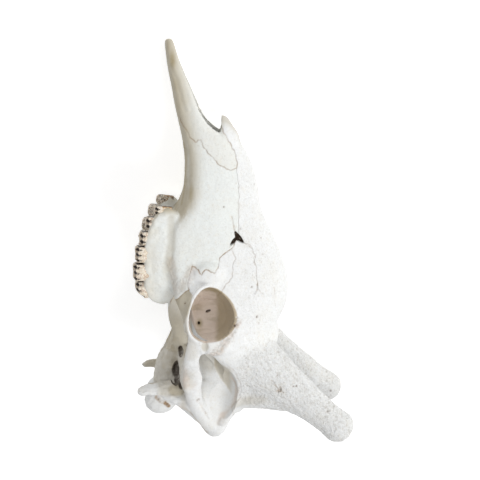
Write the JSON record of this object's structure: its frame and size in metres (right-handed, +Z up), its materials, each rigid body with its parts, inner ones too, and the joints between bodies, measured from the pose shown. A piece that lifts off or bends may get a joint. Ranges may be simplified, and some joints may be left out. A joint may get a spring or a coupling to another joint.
{
  "type": "giraffe skull",
  "caption": "Giraffe cranium without the lower jaw: long muzzle, domed brow with backswept horns, eye sockets, temples and two rows of cheek teeth.",
  "frame": {"origin": "on the table, under the centre of the skull's bounding box as it rests", "axes": "+Z up from the table; +Y along the skull to the tip of the muzzle; +X towards the brow and the horns. The skull lies on its right side, its left side up."},
  "size_m": [0.3848, 0.6652, 0.2386],
  "materials": {
    "premaxilla_left": "satin ivory bone",
    "premaxilla_right": "satin ivory bone",
    "nasal_left": "chalky weathered bone",
    "nasal_right": "chalky weathered bone",
    "lacrimal_left": "chalky weathered bone",
    "lacrimal_right": "chalky weathered bone",
    "cheekbone_left": "chalky weathered bone",
    "cheekbone_right": "chalky weathered bone",
    "maxilla_left": "chalky bone with worn enamel teeth",
    "maxilla_right": "chalky bone with worn enamel teeth",
    "palatine_left": "matte tan bone",
    "palatine_right": "matte tan bone",
    "ossicone_left": "chalky weathered bone",
    "ossicone_right": "chalky weathered bone",
    "frontal": "chalky weathered bone",
    "braincase": "chalky weathered bone"
  },
  "bodies": {
    "root": {"premaxilla_left": "premaxilla_left", "premaxilla_right": "premaxilla_right", "nasal_left": "nasal_left", "nasal_right": "nasal_right", "lacrimal_left": "lacrimal_left", "lacrimal_right": "lacrimal_right", "cheekbone_left": "cheekbone_left", "cheekbone_right": "cheekbone_right", "maxilla_left": "maxilla_left", "maxilla_right": "maxilla_right", "palatine_left": "palatine_left", "palatine_right": "palatine_right", "ossicone_left": "ossicone_left", "ossicone_right": "ossicone_right", "frontal": "frontal", "braincase": "braincase"}
  },
  "joints": []
}
